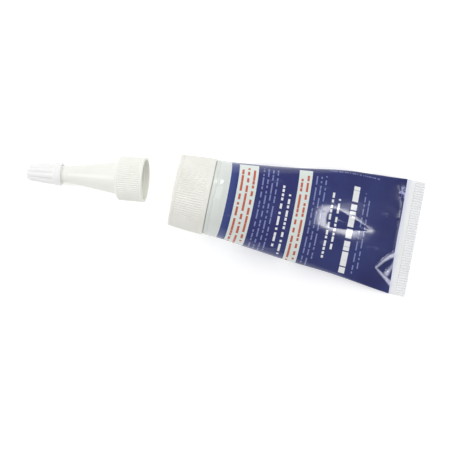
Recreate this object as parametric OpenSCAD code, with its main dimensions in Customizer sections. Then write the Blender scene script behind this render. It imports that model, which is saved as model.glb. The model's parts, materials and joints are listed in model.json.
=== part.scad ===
// Squeeze tube of grease lying on a table, with its screw cap on.
// A loose applicator nozzle with its own tip cap lies in front of the cap.
// X runs along the tube from the nozzle to the crimp, Z is up and the table is at z = 0.
// The origin is on the table, under the middle of the whole set.

/* [Sleeve] */
// Outer diameter of the sleeve at its round end
sleeve_d = 30; // [28:0.5:34]
// Length of the sleeve from the shoulder to the end of the crimp
sleeve_len = 82.6; // [70:0.1:110]
// Thickness of the sleeve's wall
sleeve_wall = 0.5; // [0.4:0.05:0.7]
// How full the tube is: higher keeps the sleeve thick nearer to the crimp
sleeve_fullness = 1.2; // [1:0.05:1.6]
// Smooth flat strip before the crimp's ridges
crimp_strip = 3.2; // [2:0.1:6]
// Length of the crimp's ridged band
crimp_band = 3.8; // [2:0.1:8]
// Distance between the crimp's ridges
ridge_pitch = 1; // [0.8:0.05:2]
// Height of the crimp's ridges
ridge_h = 0.24; // [0.1:0.02:0.4]

/* [Head] */
// Thickness of the shoulder's rim
rim_t = 1.8; // [1.5:0.1:3]
// Rounding of the shoulder's outer edge
rim_round = 0.8; // [0.5:0.1:1.4]
// Height that the sloping shoulder gains between its rim and the neck
shoulder_rise = 1.6; // [0.5:0.1:3]
// Length of the skirt that is welded inside the sleeve
spigot_len = 2.4; // [1.5:0.1:5]
// Thickness of that skirt
spigot_wall = 1; // [0.6:0.1:1.5]
// Diameter of the neck without its thread
neck_d = 13.6; // [12:0.1:14.4]
// Length of the neck above the shoulder
neck_len = 9; // [8:0.1:9.4]
// Diameter of the outlet through the neck
outlet_d = 7; // [4:0.5:9]
// Thickness of the foil over the neck's lip
foil_t = 0.12; // [0.08:0.01:0.2]

/* [Thread] */
// Rise of the thread in one turn
thread_pitch = 3; // [2.8:0.1:3.4]
// Height of the thread's ridge
thread_h = 0.8; // [0.6:0.05:0.9]
// Radial clearance between the neck and what screws onto it
thread_gap = 0.2; // [0.15:0.05:0.35]
// Width of the ridge at its foot
thread_foot = 1.8; // [1.4:0.1:1.9]
// Width of the ridge at its crest
thread_crest = 0.9; // [0.5:0.1:1]
// Turns of the ridge on the neck
neck_turns = 1.5; // [1:0.25:1.5]
// Turns of the ridge in the cap and in the nozzle
socket_turns = 1.25; // [1:0.25:1.25]

/* [Screw cap] */
// How far the cap's rim stands out beyond the sleeve all round
cap_overhang = 0.3; // [0.1:0.1:2]
// How much the cap's radius shrinks towards its flat end
cap_taper = 1.15; // [0:0.05:2]
// Gap between the cap's rim and the shoulder
cap_gap = 0.5; // [0.3:0.1:1]
// Thickness of the cap's flat end
cap_end_t = 2.2; // [1.4:0.1:3]
// Thickness of the ribbed outer skirt
cap_wall = 1.4; // [1.1:0.1:1.8]
// Thickness of the threaded inner skirt
cap_socket_wall = 1.3; // [1:0.1:1.8]
// Length of the smooth bead at the rim
cap_bead = 1.5; // [1:0.1:3]
// Length of the smooth margin at the flat end
cap_margin = 1.8; // [1.2:0.1:3]
// Rounding of the flat end's edge
cap_round = 0.6; // [0.3:0.1:1]
// Number of grip ribs
cap_ribs = 96; // [60:4:120]
// Depth of the grooves between the ribs
cap_rib_depth = 0.3; // [0.15:0.05:0.4]
// Thickness of the sealing wad
liner_t = 1; // [0.6:0.1:1.5]

/* [Nozzle] */
// Thickness of the collar's wall at its mouth
collar_wall = 1; // [0.9:0.1:2]
// How much the collar's radius shrinks towards its closed end
collar_taper = 0.35; // [0:0.05:0.4]
// Thickness of the collar's closed end
collar_end_t = 1.7; // [1:0.1:2]
// Length of the smooth lip at the mouth
collar_lip = 0.8; // [0.5:0.1:2]
// Length of the bevel round the closed end
collar_bevel = 1; // [0.5:0.1:1.5]
// Number of grip ribs
collar_ribs = 64; // [40:4:80]
// Depth of the grooves between the ribs
collar_rib_depth = 0.25; // [0.15:0.05:0.35]
// Diameter of the cone at the collar
cone_d = 13; // [10:0.1:14]
// Length of the cone
cone_len = 19.9; // [12:0.1:30]
// Diameter of the straight land at the cone's thin end
land_d = 6.8; // [5.4:0.1:7]
// Length of the land that shows below the tip cap
land_len = 2.7; // [1:0.1:6]
// Length of the taper inside the tip cap
tip_len = 11; // [8:0.1:12]
// Diameter of the nozzle's end
tip_d = 4.9; // [3.8:0.1:5]
// Diameter of the outlet
tip_outlet_d = 1.9; // [1.4:0.1:2.4]
// Thickness of the cone's wall
cone_wall = 1.3; // [0.9:0.1:1.6]

/* [Tip cap] */
// Thickness of the fluted wall
tip_cap_wall = 0.95; // [0.8:0.05:1.5]
// How far the smooth rim stands out beyond the flutes
tip_cap_bead = 0.2; // [0.1:0.05:0.8]
// Length of the smooth rim
tip_cap_rim_len = 2.8; // [1.5:0.1:5]
// Thickness of the closed end
tip_cap_end_t = 3.6; // [2.8:0.1:5]
// Rounding of the closed end
tip_cap_round = 2.4; // [1:0.1:2.4]
// Number of flutes
tip_cap_flutes = 10; // [6:2:16]
// Depth of the flutes
flute_depth = 0.35; // [0.15:0.05:0.45]
// Length of the pin that closes the outlet
pin_len = 2.2; // [1:0.1:4]
// Clearance of the tip cap on the nozzle's tip
tip_gap = 0.15; // [0.1:0.05:0.25]

/* [Layout] */
// Distance from the cap's flat end to the middle of the nozzle's mouth
nozzle_gap = 12.2; // [12:0.1:30]
// Sideways place of the mouth's middle
nozzle_side = 1.5; // [-8:0.1:8]
// Turn of the lying nozzle away from the tube's line, in degrees
nozzle_turn = 7.5; // [-20:0.5:20]

/* [Hidden] */
$fn = 96;

// Clearances between pieces that are welded, filled or laid together
weld_gap = 0.06;
fill_gap = 0.25;
liner_gap = 0.2;
outlet_gap = 0.25;
socket_spare = 0.4;
// How far one solid runs into another where they are joined
joint_sink = 0.2;
// Broken edges on the moulded pieces
edge_break = 0.2;
lip_bevel = 0.4;
rim_land = 0.6;
neck_foot = 0.8;
cone_fillet = 0.8;
// Radius that the collar's bevel loses along its length, as a share of that length
bevel_slope = 1.4;
// Steps that draw one turn of a thread, and those over which its ridge fades out
turn_steps = 32;
fade_steps = 5;

// Neck and socket radii, shared by the head, the cap and the nozzle
neck_r = neck_d / 2;
neck_crest_r = neck_r + thread_h;
socket_r = neck_crest_r + thread_gap;
socket_crest_r = neck_r + thread_gap;
lead_r = socket_r + thread_gap;
lead_len = 2;
neck_band = 1.4;
outlet_r = outlet_d / 2;

// Heights along the head's own axis, from the sleeve's round end outwards
neck_z = rim_t + shoulder_rise;
lip_z = neck_z + neck_len;
liner_z = lip_z + foil_t + liner_gap;
ceiling_z = liner_z + liner_t + liner_gap / 2;
cap_z = rim_t + cap_gap;
cap_end_z = ceiling_z + cap_end_t;
cap_len = cap_end_z - cap_z;
skirt_z = neck_z + cap_gap;
seat_z = liner_z - liner_gap;
liner_r = socket_crest_r - liner_gap / 2;
thread_z = neck_z + neck_band + thread_foot / 2 + edge_break;

// Radii of the sleeve and the cap
sleeve_r = sleeve_d / 2;
cap_rim_r = sleeve_r + cap_overhang;
cap_end_r = cap_rim_r - cap_taper;
cap_socket_r = lead_r + cap_socket_wall;

// Sleeve, which stays round as far as the head's skirt reaches
axis_z = cap_rim_r;
straight_x = spigot_len + weld_gap;
crimp_t = 2 * sleeve_wall;
crimp_half = PI * sleeve_r / 2 - crimp_t / 4;
crimp_z = ridge_h / 2;
crimp_x = sleeve_len - crimp_strip - crimp_band;
sleeve_rings = 16;
sleeve_sides = 40;
// How much squarer than round the sleeve's section gets above, below and at the crimp
upper_square = 0.3;
lower_square = 1.2;
crimp_square = 6;
// How late on the way to the crimp the section turns square
square_onset = 8;
// Shares of the way to the crimp where the skin, the cavity and the grease end
skin_end = 0.99;
cavity_end = 0.985;
fill_end = 0.96;
spigot_r = (sleeve_r - sleeve_wall) * cos(180 / sleeve_sides) - weld_gap;

// Nozzle and tip cap, along the nozzle's own axis from its mouth
collar_r = lead_r + collar_wall;
collar_end_r = collar_r - collar_taper;
land_r = land_d / 2;
tip_r = tip_d / 2;
tip_outlet_r = tip_outlet_d / 2;
socket_depth = neck_len + socket_spare;
collar_len = socket_depth + collar_end_t;
cone_end_z = collar_len + cone_len;
land_end_z = cone_end_z + land_len;
tip_z = land_end_z + tip_len;
tip_cap_z = land_end_z + tip_gap;
tip_bore_len = tip_len + tip_gap;
tip_cap_len = tip_bore_len + tip_cap_end_t;
tip_cap_end_r = tip_r + tip_gap + tip_cap_wall;
rib_end_z = collar_len - collar_bevel;

// The nozzle lies on the end of its collar's ribs and on the tip cap's rounded end
round_z = tip_cap_z + tip_cap_len - tip_cap_round;
round_r = tip_cap_end_r - tip_cap_round;
rest_run = round_z - rib_end_z;
rest_drop = collar_end_r - round_r;
nozzle_pitch = atan2(rest_drop, rest_run) - asin(tip_cap_round / norm([rest_run, rest_drop]));
mouth_z = collar_end_r * cos(nozzle_pitch) + rib_end_z * sin(nozzle_pitch);

// Reach of the set in front of the sleeve's round end, which puts the origin in the middle
axis_share = cos(nozzle_pitch) * cos(nozzle_turn);
nozzle_reach = round_z * axis_share + round_r * sqrt(1 - axis_share * axis_share) + tip_cap_round;
mouth_reach = cap_end_z + nozzle_gap;
front_x = (mouth_reach + nozzle_reach - sleeve_len) / 2;

// Points on an arc, from one angle to another
function arc(centre, r, from, to, steps = 8) = [
    for (i = [0 : steps])
        centre + r * [cos(from + (to - from) * i / steps), sin(from + (to - from) * i / steps)]
];

// Straight mix of two values
function mix(a, b, share) = a + (b - a) * share;

// Outline of a round bar with trapezoidal grip ribs
function rib_outline(crest_r, depth, count) = [
    for (i = [0 : count - 1])
        for (corner = [[-0.34, depth], [-0.2, 0], [0.2, 0], [0.34, depth]])
            (crest_r - corner[1]) * [cos((i + corner[0]) * 360 / count), sin((i + corner[0]) * 360 / count)]
];

// Outline of a round bar with soft lengthwise flutes
function flute_outline(crest_r, depth, count, steps = 8) = [
    for (i = [0 : count * steps - 1])
        let (a = 360 * i / (count * steps))
            (crest_r - depth * pow(0.5 - cos(a * count) / 2, 2)) * [cos(a), sin(a)]
];

// Side faces between rings of points, as triangles
function ring_faces(rings, sides) = [
    for (j = [0 : rings - 2])
        for (i = [0 : sides - 1])
            let (a = j * sides + i, b = j * sides + (i + 1) % sides)
                each [[b, a, a + sides], [b, a + sides, b + sides]]
];

// Solid lofted through rings of points that lie one after the other
module loft(rings) {
    sides = len(rings[0]);
    last = (len(rings) - 1) * sides;
    ends = [[for (i = [0 : sides - 1]) i], [for (i = [sides - 1 : -1 : 0]) last + i]];
    polyhedron(points = [for (ring = rings) each ring], faces = concat(ring_faces(len(rings), sides), ends));
}

// Right-hand helical ridge that fades out at both ends; the crest may lie inside or outside the foot
module helix_ridge(foot_r, crest_r, turns) {
    steps = ceil(turns * turn_steps);
    side = crest_r > foot_r ? 0.5 : -0.5;
    inward = crest_r > foot_r ? -joint_sink : joint_sink;
    loft([
        for (i = [0 : steps])
            let (
                a = 360 * turns * i / steps,
                z = thread_pitch * turns * i / steps,
                grown = max(0.1, min(1, i / fade_steps, (steps - i) / fade_steps)),
                r = mix(foot_r, crest_r, grown),
                out = [cos(a), sin(a)]
            )
                [
                    for (corner = [
                        [foot_r + inward, side * thread_foot],
                        [r, side * thread_crest],
                        [r, -side * thread_crest],
                        [foot_r + inward, -side * thread_foot]
                    ])
                        [corner[0] * out[0], corner[0] * out[1], z + corner[1]]
                ]
    ]);
}

// Threaded, open-ended socket bore: plain lead-in at the mouth, then the thread's wide bore
module socket_bore(depth) {
    translate([0, 0, -1])
        cylinder(r = lead_r, h = lead_len + 1);
    translate([0, 0, -1])
        cylinder(r = socket_r, h = depth + 1);
}

// One ring of the sleeve's skin at a share of the way to the crimp, drawn in by an inset
function sleeve_ring(share, inset, x) =
    let (
        bulge = sin(180 * share),
        square_end = crimp_square * pow(share, square_onset),
        half_w = mix(sleeve_r, crimp_half, share) - inset,
        top = mix(axis_z + sleeve_r, crimp_z + crimp_t, pow(share, sleeve_fullness)) - inset,
        low = mix(axis_z - sleeve_r, crimp_z, share) + inset,
        upper = 2 + upper_square * bulge + square_end,
        lower = 2 + lower_square * bulge + square_end
    )
        [
            for (i = [0 : sleeve_sides - 1])
                let (
                    c = cos(360 * i / sleeve_sides),
                    s = sin(360 * i / sleeve_sides),
                    power = 2 / (s > 0 ? upper : lower)
                )
                    [
                        x,
                        half_w * sign(c) * pow(abs(c), power),
                        (top + low) / 2 + (top - low) / 2 * sign(s) * pow(abs(s), power)
                    ]
        ];

// Rings of the sleeve's skin between two shares of its length
function sleeve_skin(inset, from, to) = [
    for (j = [0 : sleeve_rings])
        let (share = mix(from, to, j / sleeve_rings))
            sleeve_ring(share, inset, mix(straight_x, crimp_x, share))
];

// Corrugated crimp seen along the tube
function crimp_outline() =
    let (
        count = floor(2 * crimp_half / ridge_pitch),
        step = 2 * crimp_half / count,
        wave = [
            for (i = [0 : count - 1])
                for (corner = [[0, 0], [0.25, ridge_h], [0.5, ridge_h], [0.75, 0]])
                    [-crimp_half + (i + corner[0]) * step, corner[1]]
        ],
        ends = [[crimp_half, 0]]
    )
        concat(
            wave,
            ends,
            [for (i = [len(wave) : -1 : 0]) concat(wave, ends)[i] + [0, crimp_t]]
        );

// Puts a piece that stands on the head's axis into its lying place
module on_tube() {
    translate([front_x, 0, axis_z])
        rotate([0, -90, 0])
            children();
}

// Puts a piece that stands on the nozzle's axis into its lying place
module on_nozzle() {
    translate([front_x - mouth_reach, nozzle_side, mouth_z])
        rotate([0, 0, nozzle_turn])
            rotate([0, -90 - nozzle_pitch, 0])
                children();
}

// Sleeve: open, round end at the shoulder, pressed flat and corrugated at the crimp
module sleeve() {
    outer = [
        sleeve_ring(0, 0, 0),
        each sleeve_skin(0, 0, skin_end),
        sleeve_ring(1, joint_sink / 4, crimp_x + joint_sink * 2)
    ];
    inner = [sleeve_ring(0, sleeve_wall, -1), each sleeve_skin(sleeve_wall, 0, cavity_end)];
    color("#3f4684")
        translate([front_x, 0, 0])
            union() {
                difference() {
                    loft(outer);
                    loft(inner);
                }
                translate([crimp_x, -crimp_half, crimp_z])
                    cube([crimp_strip + joint_sink, 2 * crimp_half, crimp_t]);
                translate([crimp_x + crimp_strip, 0, 0])
                    rotate([90, 0, 90])
                        linear_extrude(crimp_band)
                            polygon(crimp_outline());
            }
}

// Head: welded skirt, rounded rim, sloping shoulder and threaded neck with its outlet
module tube_head() {
    slope_r = sleeve_r - rim_round - rim_land;
    foot_r = neck_crest_r + neck_foot;
    band_z = neck_z + neck_band;
    under_z = neck_z - rim_t;
    spigot_in_r = spigot_r - spigot_wall;
    profile = concat(
        [[spigot_in_r, -spigot_len], [spigot_r, -spigot_len], [spigot_r, 0], [sleeve_r, 0]],
        arc([sleeve_r - rim_round, rim_t - rim_round], rim_round, 0, 90),
        [[slope_r, rim_t], [foot_r, neck_z], [neck_crest_r, neck_z]],
        [[neck_crest_r, band_z], [neck_r, band_z + lip_bevel]],
        [[neck_r, lip_z - lip_bevel], [neck_r - lip_bevel, lip_z], [outlet_r, lip_z]],
        [[outlet_r, under_z], [spigot_in_r, 0]]
    );
    color("#d6dcd8")
        on_tube()
            union() {
                rotate_extrude()
                    polygon(profile);
                translate([0, 0, thread_z])
                    helix_ridge(neck_r, neck_crest_r, neck_turns);
            }
}

// Foil welded over the neck's lip
module foil_seal() {
    color("#c9ccd0")
        on_tube()
            translate([0, 0, lip_z])
                cylinder(r = neck_r - lip_bevel, h = foil_t);
}

// Grease that fills the sleeve and the neck up to the foil
module grease_fill() {
    fill_r = spigot_r - spigot_wall - fill_gap;
    skin_from = fill_gap / crimp_x;
    color("#8f9096")
        union() {
            translate([front_x, 0, 0])
                loft(sleeve_skin(sleeve_wall + fill_gap, skin_from, fill_end));
            on_tube()
                translate([0, 0, -spigot_len - 1])
                    cylinder(r = fill_r, h = spigot_len + 1 - fill_gap);
            on_tube()
                translate([0, 0, -spigot_len])
                    cylinder(r = outlet_r - outlet_gap, h = spigot_len + lip_z - fill_gap / 2);
        }
}

// Loose sealing wad between the foil and the cap's end
module cap_liner() {
    color("#e8e6dc")
        on_tube()
            translate([0, 0, liner_z])
                cylinder(r = liner_r, h = liner_t);
}

// Cap: ribbed outer skirt with a smooth bead and margin, flat end, threaded inner skirt
module screw_cap() {
    rib_from = cap_bead - joint_sink;
    rib_to = cap_len - cap_margin + joint_sink;
    slope = (cap_end_r - cap_rim_r) / cap_len;
    draft = atan(-slope);
    rib_drop = edge_break / 2;
    crest_from = cap_rim_r + slope * rib_from - rib_drop;
    crest_to = cap_rim_r + slope * rib_to - rib_drop;
    margin_r = cap_rim_r + slope * (cap_len - cap_margin);
    hollow_end = ceiling_z - cap_z;
    hollow_end_r = cap_rim_r + slope * hollow_end - cap_wall;
    socket_z = skirt_z - cap_z;
    socket_depth_in_cap = seat_z - skirt_z;
    color("#edebe4")
        on_tube()
            translate([0, 0, cap_z])
                union() {
                    difference() {
                        union() {
                            rotate_extrude()
                                polygon(concat(
                                    [[0, 0], [cap_rim_r - edge_break, 0], [cap_rim_r, edge_break]],
                                    [[cap_rim_r + slope * cap_bead, cap_bead], [0, cap_bead]]
                                ));
                            translate([0, 0, rib_from])
                                linear_extrude(rib_to - rib_from, scale = crest_to / crest_from)
                                    polygon(rib_outline(crest_from, cap_rib_depth, cap_ribs));
                            rotate_extrude()
                                polygon(concat(
                                    [[0, cap_len - cap_margin], [margin_r, cap_len - cap_margin]],
                                    arc([cap_end_r - cap_round, cap_len - cap_round], cap_round, draft, 90),
                                    [[0, cap_len]]
                                ));
                        }
                        rotate_extrude()
                            polygon([
                                [0, -1],
                                [cap_rim_r - slope - cap_wall, -1],
                                [hollow_end_r, hollow_end],
                                [0, hollow_end]
                            ]);
                    }
                    difference() {
                        translate([0, 0, socket_z])
                            cylinder(r = cap_socket_r, h = hollow_end - socket_z + joint_sink);
                        translate([0, 0, socket_z])
                            socket_bore(socket_depth_in_cap);
                        translate([0, 0, socket_z])
                            cylinder(r = socket_crest_r + liner_gap / 2, h = hollow_end - socket_z);
                    }
                    translate([0, 0, thread_z - cap_z + thread_pitch / 2])
                        helix_ridge(socket_r, socket_crest_r, socket_turns);
                }
}

// Nozzle: ribbed, threaded collar, hollow cone, straight land and tapered tip
module nozzle() {
    rib_len = rib_end_z - collar_lip + joint_sink;
    cone_r = cone_d / 2;
    bevel_r = max(collar_end_r - bevel_slope * collar_bevel, cone_r + cone_fillet + edge_break);
    rib_root_r = collar_end_r - collar_rib_depth;
    rib_crest_r = collar_r - edge_break / 2;
    thread_foot_z = thread_z - neck_z + thread_pitch / 2;
    color("#eeede7")
        on_nozzle()
            union() {
                difference() {
                    union() {
                        rotate_extrude()
                            polygon(concat(
                                [[0, 0], [collar_r - edge_break, 0], [collar_r, edge_break]],
                                [[collar_r, collar_lip], [rib_root_r, collar_lip]],
                                [[rib_root_r, rib_end_z], [bevel_r, collar_len]],
                                arc([cone_r + cone_fillet, collar_len + cone_fillet], cone_fillet, 270, 180),
                                [[land_r, cone_end_z], [land_r, land_end_z], [tip_r, tip_z], [0, tip_z]]
                            ));
                        translate([0, 0, collar_lip - joint_sink])
                            linear_extrude(rib_len, scale = collar_end_r / rib_crest_r)
                                polygon(rib_outline(rib_crest_r, collar_rib_depth, collar_ribs));
                    }
                    socket_bore(socket_depth);
                    rotate_extrude()
                        polygon([
                            [0, 1],
                            [cone_r - cone_wall, 1],
                            [cone_r - cone_wall, collar_len],
                            [land_r - cone_wall, cone_end_z],
                            [tip_outlet_r, land_end_z],
                            [tip_outlet_r, tip_z + 1],
                            [0, tip_z + 1]
                        ]);
                }
                translate([0, 0, thread_foot_z])
                    helix_ridge(socket_r, socket_crest_r, socket_turns);
            }
}

// Tip cap: smooth rim, fluted body with a rounded end, tapered bore and closing pin
module tip_cap() {
    bore_r = land_r + tip_gap;
    body_r = bore_r + tip_cap_wall;
    rim_r = body_r + tip_cap_bead;
    taper = (tip_r - land_r) / tip_len;
    body_len = round_z - tip_cap_z - tip_cap_rim_len;
    full_len = tip_cap_len - tip_cap_rim_len + joint_sink;
    full_scale = 1 + (tip_cap_end_r / body_r - 1) * full_len / body_len;
    color("#f0f0f0")
        on_nozzle()
            translate([0, 0, tip_cap_z])
                union() {
                    difference() {
                        union() {
                            rotate_extrude()
                                polygon([
                                    [0, 0],
                                    [rim_r - edge_break, 0],
                                    [rim_r, edge_break],
                                    [rim_r, tip_cap_rim_len - edge_break],
                                    [rim_r - edge_break, tip_cap_rim_len],
                                    [0, tip_cap_rim_len]
                                ]);
                            intersection() {
                                translate([0, 0, tip_cap_rim_len - joint_sink])
                                    linear_extrude(full_len, scale = full_scale)
                                        polygon(flute_outline(body_r, flute_depth, tip_cap_flutes));
                                rotate_extrude()
                                    polygon(concat(
                                        [[0, 0], [rim_r, 0], [tip_cap_end_r, round_z - tip_cap_z]],
                                        arc([round_r, round_z - tip_cap_z], tip_cap_round, 0, 90),
                                        [[0, tip_cap_len]]
                                    ));
                            }
                        }
                        rotate_extrude()
                            polygon([
                                [0, -1],
                                [bore_r - taper, -1],
                                [bore_r + taper * tip_bore_len, tip_bore_len],
                                [0, tip_bore_len]
                            ]);
                    }
                    translate([0, 0, tip_bore_len - pin_len])
                        cylinder(r = tip_outlet_r - outlet_gap, h = pin_len + joint_sink);
                }
}

sleeve();
tube_head();
foil_seal();
grease_fill();
cap_liner();
screw_cap();
nozzle();
tip_cap();
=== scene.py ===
import json
import math
import bmesh
import bpy
import numpy as np
from mathutils import Matrix, Vector


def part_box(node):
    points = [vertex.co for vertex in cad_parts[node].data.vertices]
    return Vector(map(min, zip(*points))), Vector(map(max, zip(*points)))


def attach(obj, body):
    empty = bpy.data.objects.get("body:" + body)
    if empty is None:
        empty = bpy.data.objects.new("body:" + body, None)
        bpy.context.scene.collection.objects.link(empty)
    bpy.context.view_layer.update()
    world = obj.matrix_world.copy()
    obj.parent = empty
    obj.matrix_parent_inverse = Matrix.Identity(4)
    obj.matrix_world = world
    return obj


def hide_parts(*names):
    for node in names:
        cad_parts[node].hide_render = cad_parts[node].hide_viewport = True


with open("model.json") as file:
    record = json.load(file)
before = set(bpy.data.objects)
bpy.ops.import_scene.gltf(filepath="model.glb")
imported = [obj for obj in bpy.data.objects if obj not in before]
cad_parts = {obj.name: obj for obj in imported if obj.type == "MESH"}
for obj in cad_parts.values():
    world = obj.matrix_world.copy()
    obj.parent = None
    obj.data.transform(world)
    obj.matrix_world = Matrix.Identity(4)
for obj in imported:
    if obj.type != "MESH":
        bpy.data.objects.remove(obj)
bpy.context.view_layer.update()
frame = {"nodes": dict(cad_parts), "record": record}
mm = 0.001
weld = 0.000004  # points closer together than this, in metres, become one
mounts = {mount["name"]: mount for mount in frame["record"]["mounts"]}
scene = bpy.context.scene
print("frame loaded:", ", ".join(sorted(frame["nodes"])))


# small helpers for node trees

def feed(tree, socket, value):
    if isinstance(value, bpy.types.NodeSocket):
        tree.links.new(value, socket)
    elif value is not None:
        socket.default_value = value


def put(tree, kind, inputs=(), **settings):
    node = tree.nodes.new(kind)
    for name, value in settings.items():
        setattr(node, name, value)
    pairs = inputs.items() if isinstance(inputs, dict) else enumerate(inputs)
    for key, value in pairs:
        feed(tree, node.inputs[key], value)
    return node


def calc(tree, operation, *values):
    return put(tree, "ShaderNodeMath", values, operation=operation).outputs[0]


def times(tree, product, *others):
    for other in others:
        product = calc(tree, "MULTIPLY", product, other)
    return product


def spread(tree, share, base, span):
    # the base where the share is 0, base and span together where it is 1
    return calc(tree, "MULTIPLY_ADD", share, span, base)


def ease(tree, value, low, high, start=0.0, end=1.0):
    return put(tree, "ShaderNodeMapRange", (value, low, high, start, end),
               interpolation_type="SMOOTHSTEP").outputs[0]


def between(tree, value, low, high, soft):
    # 1 inside the two limits, 0 outside, with a soft edge
    rise = ease(tree, value, low - soft, low + soft)
    return times(tree, rise, ease(tree, value, high - soft, high + soft, 1.0, 0.0))


def largest(tree, masks):
    total = masks[0]
    for mask in masks[1:]:
        total = calc(tree, "MAXIMUM", total, mask)
    return total


def tint(tree, share, under, over):
    # sockets 0, 6 and 7 of the node are its factor and its two colours
    return put(tree, "ShaderNodeMix", {0: share, 6: under, 7: over}, data_type="RGBA").outputs[2]


def separate(tree, vector):
    return put(tree, "ShaderNodeSeparateXYZ", (vector,)).outputs


def combine(tree, *parts):
    return put(tree, "ShaderNodeCombineXYZ", parts).outputs[0]


def objectPlace(tree):
    return put(tree, "ShaderNodeTexCoord").outputs["Object"]


def noise(tree, place, scale, detail):
    return put(tree, "ShaderNodeTexNoise", {"Vector": place, "Scale": scale, "Detail": detail}).outputs[0]


def lineNoise(tree, place):
    return put(tree, "ShaderNodeTexNoise", {"W": place, "Scale": 1.0, "Detail": 0.0},
               noise_dimensions="1D").outputs[0]


def cells(tree, place, scale):
    return put(tree, "ShaderNodeTexVoronoi", {"Vector": place, "Scale": scale}).outputs["Distance"]


def bump(tree, height, distance, strength):
    return put(tree, "ShaderNodeBump", {
        "Strength": strength, "Distance": distance, "Height": height}).outputs[0]


def paint(red, green, blue):
    # screen colour, 0 to 255, as the linear colour that a shader takes
    def linear(level):
        level /= 255
        return level / 12.92 if level <= 0.04045 else ((level + 0.055) / 1.055) ** 2.4
    return (linear(red), linear(green), linear(blue), 1.0)


def startTree(name, kind, inputs, outputs):
    # inputs and outputs: the label and the kind of each socket
    tree = bpy.data.node_groups.new(name, kind)
    for side, sockets in (("INPUT", inputs), ("OUTPUT", outputs)):
        for label, socketKind in sockets.items():
            tree.interface.new_socket(label, in_out=side, socket_type="NodeSocket" + socketKind)
    return tree, tree.nodes.new("NodeGroupInput").outputs, tree.nodes.new("NodeGroupOutput").inputs


def finishTree(tree, result, geometry, material):
    # plain geometry with one finish
    real = put(tree, "GeometryNodeRealizeInstances", (geometry,))
    coated = put(tree, "GeometryNodeSetMaterial", {"Geometry": real.outputs[0], "Material": material})
    feed(tree, result[0], coated.outputs[0])
    return tree


# shader groups that several finishes share

def buildMouldGrain():
    # fine and broad unevenness of a moulded surface
    tree, given, result = startTree(
        "mouldGrain", "ShaderNodeTree", {"Fine Scale": "Float", "Broad Scale": "Float"},
        {"Fine": "Float", "Broad": "Float"})
    place = objectPlace(tree)
    feed(tree, result["Fine"], noise(tree, place, given["Fine Scale"], detail=2.0))
    broad = noise(tree, place, given["Broad Scale"], detail=3.0)
    feed(tree, result["Broad"], ease(tree, broad, low=0.3, high=0.7))
    return tree


def buildHandling():
    # sparse rub marks from handling: short streaks, and specks that gather in patches
    tree, given, result = startTree(
        "handlingMarks", "ShaderNodeTree", {"Streak Scale": "Float", "Speck Scale": "Float"},
        {"Streaks": "Float", "Specks": "Float"})
    place = objectPlace(tree)
    stretched = put(tree, "ShaderNodeMapping", {
        "Vector": place, "Rotation": (0.2, 0.1, 0.9), "Scale": (0.12, 1.0, 1.0)}).outputs[0]
    streak = noise(tree, stretched, given["Streak Scale"], detail=4.0)
    feed(tree, result["Streaks"], ease(tree, streak, low=0.62, high=0.74))
    dots = ease(tree, cells(tree, place, given["Speck Scale"]), low=0.08, high=0.16, start=1.0, end=0.0)
    patch = ease(tree, noise(tree, place, scale=60.0, detail=1.0), low=0.56, high=0.66)
    feed(tree, result["Specks"], times(tree, dots, patch))
    return tree


mouldGrain = buildMouldGrain()
handlingMarks = buildHandling()


def useGroup(tree, group, inputs):
    return put(tree, "ShaderNodeGroup", inputs, node_tree=group).outputs


def startMaterial(name):
    material = bpy.data.materials.new(name)
    material.use_nodes = True
    return material, material.node_tree


def coat(material, values):
    # sets the sockets of the material's own shader
    shader = material.node_tree.nodes["Principled BSDF"]
    for label, value in values.items():
        feed(material.node_tree, shader.inputs[label], value)
    return material


# satin moulded plastic with slight clouding, fine grain and rub marks

plastic = {
    "dust": paint(150, 146, 134), "dustShare": 0.08, "grainRough": 0.16, "streakRough": 0.12,
    # lighter and darker shade, roughness, scale of the grain, share of light that goes inside
    "kinds": {
        "whitePlastic": (paint(243, 242, 236), paint(237, 236, 229), 0.42, 2600.0, 0.3),
        "nozzlePlastic": (paint(248, 248, 242), paint(244, 245, 238), 0.34, 2600.0, 0.0),
        "cleanWhite": (paint(250, 250, 249), paint(247, 247, 247), 0.36, 3000.0, 0.4),
        "naturalPlastic": (paint(226, 231, 226), paint(219, 225, 220), 0.17, 2000.0, 0.4),
    },
}


def mouldedPlastic(name, light, deep, roughness, grainScale, milky):
    material, tree = startMaterial(name)
    texture = useGroup(tree, mouldGrain, {"Fine Scale": grainScale, "Broad Scale": 110.0})
    marks = useGroup(tree, handlingMarks, {"Streak Scale": 240.0, "Speck Scale": 620.0})
    cloud = tint(tree, texture["Broad"], deep, light)
    dusty = tint(tree, times(tree, marks["Specks"], plastic["dustShare"]), cloud, plastic["dust"])
    rough = spread(tree, texture["Fine"], roughness - plastic["grainRough"] / 2, plastic["grainRough"])
    return coat(material, {
        "Base Color": dusty, "Roughness": spread(tree, marks["Streaks"], rough, plastic["streakRough"]),
        "Normal": bump(tree, texture["Fine"], distance=0.00001, strength=0.5), "Specular IOR Level": 0.4,
        # light spreads a little inside milky plastic
        "Subsurface Weight": milky, "Subsurface Radius": (1.0, 1.0, 0.9), "Subsurface Scale": 0.0008})


plastics = {name: mouldedPlastic(name, *kind) for name, kind in plastic["kinds"].items()}
print("moulded plastics ready")


# turned and ribbed pieces: an outline spun round the axis, with ribs or flutes cut along it

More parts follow.
